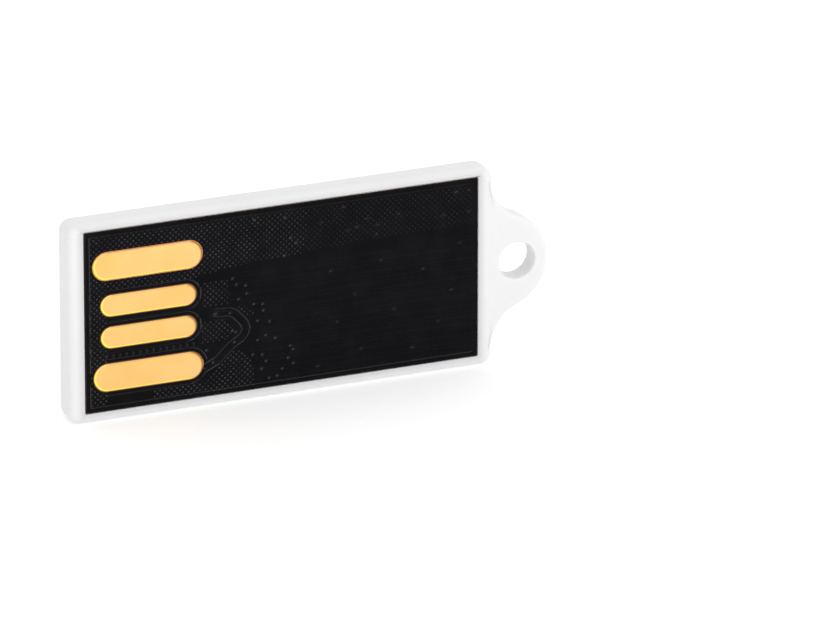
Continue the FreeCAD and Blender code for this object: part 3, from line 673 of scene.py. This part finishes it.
def makeContact(node, look):
    # Rings run from the rear face's middle line over the wall, the rounded edge and the
    # front face to its middle line. Two of them lie close to the rear edge, which keeps
    # the shading of the flats beside it.
    contact = contactShape(node)
    turn = np.pi * contact["radius"]
    total = 2 * turn + 4 * contact["half"]
    quarterStops = np.cumsum([turn / 4, 2 * contact["half"], turn, 2 * contact["half"]])
    counts = (look["straightSteps"], look["arcSteps"], look["straightSteps"], look["arcSteps"])
    starts = list(quarterStops) + [turn / 4 + total]
    place = np.concatenate([np.linspace(start, end, count, endpoint=False)
                            for start, end, count in zip(starts, starts[1:], counts)]) % total
    edge = look["edgeRound"]
    sine, cosine = quarter(look["edgeSteps"])
    front, rear = contact["front"], contact["rear"]
    rings = [stadium(contact, -contact["radius"], place), stadium(contact, -0.03, place),
             stadium(contact, -0.01, place), stadium(contact, 0, place)]
    heights = [rear, rear, rear, rear - 0.01]
    for s, c in zip(sine, cosine):
        rings.append(stadium(contact, -edge * (1 - c), place))
        heights.append(front + edge * (1 - s))
    rings += [stadium(contact, -edge * share, place) for share in look["innerRings"]]
    rings += [stadium(contact, -contact["radius"], place)]
    heights += [front] * 3
    cells = gridFaces(len(rings), len(place))
    piece = makePiece("gilded_" + node, [(stack(rings, heights), cells)], contactFinish)
    # Painted highlight and shade: a band along the edge, whose width is told in edge rounds,
    # is lighter on the lit side, above nothing, darker on the far side, below nothing, and fades inwards.
    places = pointsOf(piece)
    offset = places[:, [0, 2]] - contact["centre"]
    offset[:, 0] -= np.clip(offset[:, 0], -contact["half"], contact["half"])
    away = np.hypot(*offset.T)
    inwards = (contact["radius"] - away) / edge
    down = np.clip((look["glowFrom"] - inwards) / look["glowFull"], 0, 1)
    side = (offset @ np.array(look["paintedLightSide"])) / np.maximum(away, 0.01)
    addAttribute(piece, "edge", down * side)
    settle(piece, "gold", node)
    return contact


contactFinish = goldFinish(goldLook)
contacts = [makeContact(node, contactLook) for node in contactNodes]
print("contacts:", len(contacts))


# Solder mask of the contact side, with the copper's relief showing through it. Places on
# it are u along and v up, in millimetres from the middle of the module's contact edge.

# towards, glint, allRound, slopeReach, viaGlint and viaFar set the painted glints in the mask's colour; the
# other values shape its relief and hatch.
maskRelief = {
    "top": 0.003, "copper": 0.027, "bevel": 0.055, "margin": 0.04, "lip": 0.028,
    "border": 0.3, "clearance": 0.27, "hatchU": 0.3555, "hatchV": 0.351, "turnU": 0.03,
    "turnV": -0.11, "hatchDepth": 0.7, "fieldFrom": 7.9, "fineTo": 13.6, "cell": 0.0505,
    "coarseCell": 0.14, "viaRadius": 0.085, "viaDepth": 0.02, "viaGlint": 0.045, "viaFar": 0.45,
    "towards": (0.9, 0.44), "glint": 0.85, "allRound": 0.05, "slopeReach": 0.012,
    "hatchFrom": 0.42, "hatchFade": 0.7, "edgeDrop": 0.012, "ridges": 0.05,
}
# A row of small dips between the two lowest contacts.
dipRow = {"height": -2.24, "pitch": 0.42, "radius": 0.09, "from": 1.0, "to": 6.8, "depth": 0.8}
# Hatched copper: how strongly it shows, then the corners of the area.
hatchedAreas = (
    (1.0, ((0.35, 5.3), (0.35, 2.0), (6.7, 1.95), (9.0, 2.3), (10.7, 2.4), (11.2, 5.3))),
    (0.65, ((11.0, 5.3), (10.5, 2.4), (13.7, 2.5), (14.2, 5.3))),
    (0.32, ((14.0, 5.3), (13.5, 2.6), (24.4, 2.9), (24.4, 5.3))),
    (1.0, ((0.35, 5.3), (0.35, -5.35), (1.35, -5.35), (1.35, 5.3))),
    (0.9, ((7.35, 1.5), (7.35, 0.0), (9.0, 0.0), (9.1, 0.6), (8.9, 1.5))),
    (1.0, ((7.3, -1.0), (8.7, -0.95), (9.35, -1.5), (9.0, -2.2), (7.3, -2.3))),
    (0.8, ((9.5, -0.3), (9.9, -0.25), (10.6, -0.85), (10.2, -1.0))),
    (1.0, ((8.1, -4.05), (9.2, -2.95), (9.8, -3.15), (10.4, -3.7), (10.65, -5.4), (4.25, -5.4),
           (4.25, -4.72), (7.3, -4.72))),
)
# Supply track, from its contact up to the via that it ends in, with its half width and
# the half width of the gap that it lies in.
supplyTrack = {
    "line": ((7.5, -3.75), (8.2, -3.42), (9.0, -2.66), (9.35, -2.42), (9.72, -2.2), (9.92, -1.95),
             (9.98, -1.7), (9.9, -1.45), (9.74, -1.22), (9.35, -0.8), (9.05, -0.63), (8.2, -0.56)),
    "halfWidth": 0.16, "halfGap": 0.34,
}
viaPlaces = (
    (9.23, 1.53), (9.46, 1.12), (10.04, 0.98), (10.12, 0.47), (9.6, 0.18), (10.56, -0.27),
    (11.11, -0.35), (11.16, -0.76), (10.79, -1.36), (11.54, -1.51), (11.3, -2.34), (10.78, -2.58),
    (8.17, -0.54), (9.05, -0.63), (9.32, -2.5), (7.56, -2.76), (7.96, -3.59), (10.47, -3.47),
    (11.07, -3.54), (11.31, -3.99), (11.03, -4.44), (13.03, -3.49), (12.85, -3.24), (12.7, -3.98),
    (13.03, -4.37), (12.33, -4.62), (12.01, -5.02), (11.49, -5.08), (11.9, -2.61), (9.2, -1.76),
    (9.42, -1.87), (10.6, 5.03), (12.55, 4.87), (12.9, 3.57), (13.25, 3.2), (12.5, 2.5),
    (14.8, 4.23), (16.25, 5.03), (16.5, 3.5), (17.1, 3.65), (17.7, 4.1), (18.4, 3.6), (18.3, 3.0),
    (19.7, 4.1), (22.6, 3.6), (24.2, 3.6), (23.4, 4.95), (24.2, 4.95), (15.4, 1.1), (16.9, -0.6),
    (15.8, -2.2), (18.6, 1.3), (19.4, -1.9), (21.3, 0.4), (22.2, -3.1), (17.3, -4.1), (20.6, -4.5),
    (23.6, 1.7), (23.1, -1.2), (14.6, -4.8),
)


def step(distance, width):
    # 0 where the distance is well below nothing, 1 well above, and smooth between.
    share = np.clip(distance / width + 0.5, 0, 1)
    return share * share * (3 - 2 * share)


def lineDistance(u, v, line):
    # Least distance to a chain of straight stretches.
    best = np.full(u.shape, 1e9)
    for (startU, startV), (endU, endV) in zip(line, line[1:]):
        alongU, alongV = endU - startU, endV - startV
        share = ((u - startU) * alongU + (v - startV) * alongV) / (alongU ** 2 + alongV ** 2)
        share = np.clip(share, 0, 1)
        best = np.minimum(best, np.hypot(u - startU - share * alongU, v - startV - share * alongV))
    return best


def areaDistance(u, v, corners):
    # Distance to an area's edge, above nothing inside it: a point is inside when a ray
    # from it crosses the edge an odd number of times.
    ends = corners[1:] + corners[:1]
    inside = np.zeros(u.shape, bool)
    for (startU, startV), (endU, endV) in zip(corners, ends):
        if startV != endV:
            crossing = startU + (v - startV) * (endU - startU) / (endV - startV)
            inside ^= ((startV > v) != (endV > v)) & (u < crossing)
    distance = lineDistance(u, v, corners + corners[:1])
    return np.where(inside, distance, -distance)


moduleLow, moduleHigh = boxOf("contact_side_mask")
moduleLength = moduleHigh[0] - moduleLow[0]
moduleMiddle = (moduleLow[2] + moduleHigh[2]) / 2
moduleHalf = (moduleHigh[2] - moduleLow[2]) / 2


def hatchShare(u, v):
    # How strongly the hatch shows at a place, from 0 to 1.
    share = np.zeros(u.shape)
    for strength, corners in hatchedAreas:
        share = np.maximum(share, strength * step(areaDistance(u, v, corners), 0.12))
    return share


def maskHeight(u, v, hatched=True):
    # The level is 1 on copper and 0 in the gaps: along the border, round every contact but
    # the first, which is part of the plane, and beside the supply track. The hatch opens
    # where two cosines peak together. A row of dips, a dimple over each via, low ridges
    # from the tracks below and a drop at the very edge are taken off or added.
    look = maskRelief
    bevel = look["bevel"]
    border = np.minimum(np.minimum(u, moduleLength - u), moduleHalf - np.abs(v))
    level = step(border - look["border"], bevel)
    for contact in contacts[1:]:
        middleU, middleV = contact["centre"] - (moduleLow[0], moduleMiddle)
        line = ((middleU - contact["half"], middleV), (middleU + contact["half"], middleV))
        away = lineDistance(u, v, line) - contact["radius"]
        level = level * step(away - look["clearance"], bevel)
    track = lineDistance(u, v, supplyTrack["line"])
    level = np.maximum(level * step(track - supplyTrack["halfGap"], bevel),
                       step(supplyTrack["halfWidth"] - track, bevel))
    zone = hatchShare(u, v) * hatched
    opening = (np.cos(2 * np.pi * (u / look["hatchU"] + look["turnU"]))
               * np.cos(2 * np.pi * (v / look["hatchV"] + look["turnV"])))
    level = level * (1 - zone * look["hatchDepth"] * step(opening - look["hatchFrom"], look["hatchFade"]))
    turns = u / dipRow["pitch"]
    away = np.hypot((turns - np.round(turns)) * dipRow["pitch"], v - dipRow["height"])
    level = level - (dipRow["depth"] * step(dipRow["radius"] - away, 0.1)
                     * ((u > dipRow["from"]) & (u < dipRow["to"])))
    dimple = np.zeros(u.shape)
    for viaU, viaV in viaPlaces:
        dimple = np.maximum(dimple, np.exp(-((u - viaU) ** 2 + (v - viaV) ** 2) / look["viaRadius"] ** 2))
    field = step(u - 9.6, 1.2) * step(2.1 - v, 0.5) * step(track - 0.5, 0.3) * step(v + 5.3, 0.3)
    ridges = (np.sin(2 * np.pi * v / 0.23 + 0.9 * np.sin(0.55 * u))
              + np.sin(2 * np.pi * v / 0.37 + 1.4 * np.sin(0.31 * u + 1)))
    edge = 1 - step(border - 0.02, 0.06)
    return (look["copper"] * (level + look["ridges"] * field * ridges)
            - look["viaDepth"] * dimple - look["edgeDrop"] * edge)


def paintedGlintShare(u, v):
    # How strongly a painted glint lightens the mask's colour at a place, from 0 to 1: the slope of
    # the height without its hatch, strongest where it rises towards one side, and every via's
    # middle. The vias on the coarse cells, past fineTo, get a fainter painted glint.
    look = maskRelief
    reach = look["slopeReach"]
    slopeU = (maskHeight(u + reach, v, False) - maskHeight(u - reach, v, False)) / (2 * reach)
    slopeV = (maskHeight(u, v + reach, False) - maskHeight(u, v - reach, False)) / (2 * reach)
    facing = slopeU * look["towards"][0] + slopeV * look["towards"][1]
    share = look["glint"] * np.maximum(facing, 0) + look["allRound"] * np.hypot(slopeU, slopeV)
    for viaU, viaV in viaPlaces:
        away = (u - viaU) ** 2 + (v - viaV) ** 2
        strength = 1.0 if viaU < look["fineTo"] else look["viaFar"]
        share = np.maximum(share, strength * np.exp(-away / look["viaGlint"] ** 2))
    return np.clip(share, 0, 1)


def maskPoints(u, v, drop=0.0):
    y = moduleLow[1] + maskRelief["top"] + maskRelief["copper"] - maskHeight(u, v) + drop
    y = np.minimum(y, moduleHigh[1] - 0.004)
    return np.column_stack([moduleLow[0] + u.ravel(), y.ravel(), moduleMiddle + v.ravel()])


def flatPoints(u, v, y):
    return np.column_stack([moduleLow[0] + u, np.full(len(u), y), moduleMiddle + v])


def steps(start, end, cell):
    return np.linspace(start, end, int(round((end - start) / cell)) + 1)


def contactSurround(contact, lowV, highV, look, ringCount):
    # Cells between a contact's opening and the rectangle round it. The rectangle's edge
    # points and the opening's are paired in order, and rings between each pair lie at
    # even shares of the way. Inside the first ring the lip rounds over into the opening.
    columns = steps(0, look["fieldFrom"], look["cell"])
    rows = steps(lowV, highV, look["cell"])
    rectU = np.concatenate([columns[:-1], np.full(len(rows) - 1, columns[-1]), columns[:0:-1],
                            np.zeros(len(rows) - 1)])
    rectV = np.concatenate([np.full(len(columns) - 1, lowV), rows[:-1],
                            np.full(len(columns) - 1, highV), rows[:0:-1]])
    arc = np.pi * contact["radius"] / 2
    side = arc + 2 * contact["half"]
    place = np.concatenate([np.linspace(0, side, len(columns))[:-1],
                            side + np.linspace(0, arc, len(rows))[:-1],
                            side + arc + np.linspace(0, side, len(columns))[:-1],
                            2 * side + arc + np.linspace(0, arc, len(rows))[:-1]])
    origin = np.array([moduleLow[0], moduleMiddle])

    def ring(offset):
        return stadium(contact, look["margin"] + offset, place) - origin

    bottom = moduleHigh[1]
    start = ring(look["lip"])
    rows = [flatPoints(rectU, rectV, bottom), flatPoints(*ring(0).T, bottom)]
    for s, c in zip(*quarter(4)):
        rows.append(maskPoints(*ring(look["lip"] * (1 - c)).T, drop=look["lip"] * 0.7 * (1 - s)))
    for share in np.linspace(0, 1, ringCount + 1)[1:]:
        rows.append(maskPoints(start[:, 0] * (1 - share) + rectU * share,
                               start[:, 1] * (1 - share) + rectV * share))
    return np.vstack(rows), gridFaces(len(rows), len(rectU))


def makeMask(look):
    # Four surrounds on the left, a plain grid on the right, a thin wall round the whole
    # module and a flat back. All meet point to point.
    borders = [moduleHalf]
    shapes = [contact["centre"][1] - moduleMiddle for contact in contacts]
    for upper, lower, above, below in zip(shapes, shapes[1:], contacts, contacts[1:]):
        borders.append((upper - above["radius"] + lower + below["radius"]) / 2)
    borders.append(-moduleHalf)
    parts, rowStops = [], []
    for contact, highV, lowV, count in zip(contacts, borders, borders[1:], (26, 17, 17, 26)):
        parts.append(contactSurround(contact, lowV, highV, look, count))
        rowStops.append(steps(lowV, highV, look["cell"]))
    rows = np.unique(np.round(np.concatenate(rowStops), 7))
    columns = np.concatenate([steps(look["fieldFrom"], look["fineTo"], look["cell"])[:-1],
                              steps(look["fineTo"], moduleLength, look["coarseCell"])])
    fieldU, fieldV = np.meshgrid(columns, rows)
    parts.append((maskPoints(fieldU, fieldV),
                  gridFaces(len(rows), len(columns), closedColumns=False)[:, ::-1]))
    back = moduleHigh[1]
    leftColumns = steps(0, look["fieldFrom"], look["cell"])
    allColumns = np.concatenate([leftColumns[:-1], columns])
    wallU = np.concatenate([allColumns[:-1], np.full(len(rows) - 1, moduleLength),
                            allColumns[:0:-1], np.zeros(len(rows) - 1)])
    wallV = np.concatenate([np.full(len(allColumns) - 1, -moduleHalf), rows[:-1],
                            np.full(len(allColumns) - 1, moduleHalf), rows[:0:-1]])
    wall = np.vstack([flatPoints(wallU, wallV, back), maskPoints(wallU, wallV)])
    parts.append((wall, gridFaces(2, len(wallU))[:, ::-1]))
    backU = np.concatenate([columns[:-1], np.full(len(rows) - 1, moduleLength), columns[:0:-1],
                            np.full(len(rows) - 1, columns[0])])
    backV = np.concatenate([np.full(len(columns) - 1, -moduleHalf), rows[:-1],
                            np.full(len(columns) - 1, moduleHalf), rows[:0:-1]])
    piece = makePiece("relief_solder_mask", parts, maskFinish(maskLook),
                      rings=[flatPoints(backU, backV, back)], crease=50)
    places = pointsOf(piece)
    place = places[:, 0] - moduleLow[0], places[:, 2] - moduleMiddle
    for name, share in (("hatch", hatchShare(*place)), ("paintedEdgeGlint", paintedGlintShare(*place))):
        addAttribute(piece, name, share)
    settle(piece, "solder_mask", "contact_side_mask")
    return piece


maskPiece = makeMask(maskRelief)
print("solder mask:", len(maskPiece.data.polygons), "faces")


# Floor, light and camera

studioLook = {
    "floorHalf": 3.0, "floorTone": (0.62, 0.62, 0.622), "glow": 0.42,
    "worldTone": (1.0, 1.0, 1.0), "world": 1.07,
}
# Where each soft light stands, where it points, its size and power, in metres and watts.
lamps = {
    "front_panel": {"at": (0.15, -1.05, 0.14), "to": (0, 0, 0.006), "size": (0.18, 0.14), "power": 2.2},
    "upper_right": {"at": (0.5, -0.75, 1.15), "to": (0, 0, 0.006), "size": (0.6, 0.6), "power": 1.4},
}
cameraLook = {
    "at": (-0.208561, -0.531803, 0.229719), "yaw": -22.053, "pitch": -21.495, "roll": 0.031,
    "lens": 453.3, "sensor": 36.0,
}


def makeFloor(look):
    half = look["floorHalf"]
    mesh = bpy.data.meshes.new("floor")
    mesh.from_pydata([(-half, -half, 0), (half, -half, 0), (half, half, 0), (-half, half, 0)],
                     [], [(0, 1, 2, 3)])
    finish = Finish("pale_floor", Roughness=0.9, Specular_IOR_Level=0.1, Base_Color=(*look["floorTone"], 1),
                    Emission_Color=(1, 1, 1, 1), Emission_Strength=look["glow"])
    mesh.materials.append(finish.material)
    floor = bpy.data.objects.new("floor", mesh)
    bpy.context.scene.collection.objects.link(floor)


def makeWorld(look):
    world = bpy.data.worlds.new("soft_white")
    world.use_nodes = True
    background = world.node_tree.nodes["Background"]
    background.inputs["Color"].default_value = (*look["worldTone"], 1)
    background.inputs["Strength"].default_value = look["world"]
    bpy.context.scene.world = world


def makeLamp(name, look):
    light = bpy.data.lights.new(name, "AREA")
    light.shape = "RECTANGLE"
    light.size, light.size_y = look["size"]
    light.energy = look["power"]
    lamp = bpy.data.objects.new(name, light)
    lamp.location = look["at"]
    lamp.rotation_euler = (Vector(look["to"]) - lamp.location).to_track_quat("-Z", "Y").to_euler()
    lamp.visible_camera = False
    bpy.context.scene.collection.objects.link(lamp)


def makeCamera(look):
    lens = bpy.data.cameras.new("camera")
    lens.lens, lens.sensor_width = look["lens"], look["sensor"]
    lens.clip_start, lens.clip_end = 0.01, 20
    camera = bpy.data.objects.new("camera", lens)
    turns = [Matrix.Rotation(np.radians(look["yaw"]), 4, "Z"),
             Matrix.Rotation(np.radians(90 + look["pitch"]), 4, "X"),
             Matrix.Rotation(np.radians(look["roll"]), 4, "Z")]
    camera.matrix_world = Matrix.Translation(look["at"]) @ turns[0] @ turns[1] @ turns[2]
    bpy.context.scene.collection.objects.link(camera)
    bpy.context.scene.camera = camera


makeFloor(studioLook)
makeWorld(studioLook)
for name, look in lamps.items():
    makeLamp(name, look)
makeCamera(cameraLook)
bpy.context.scene.view_settings.view_transform = "Standard"
print("studio: floor, world,", len(lamps), "lamps and the camera")
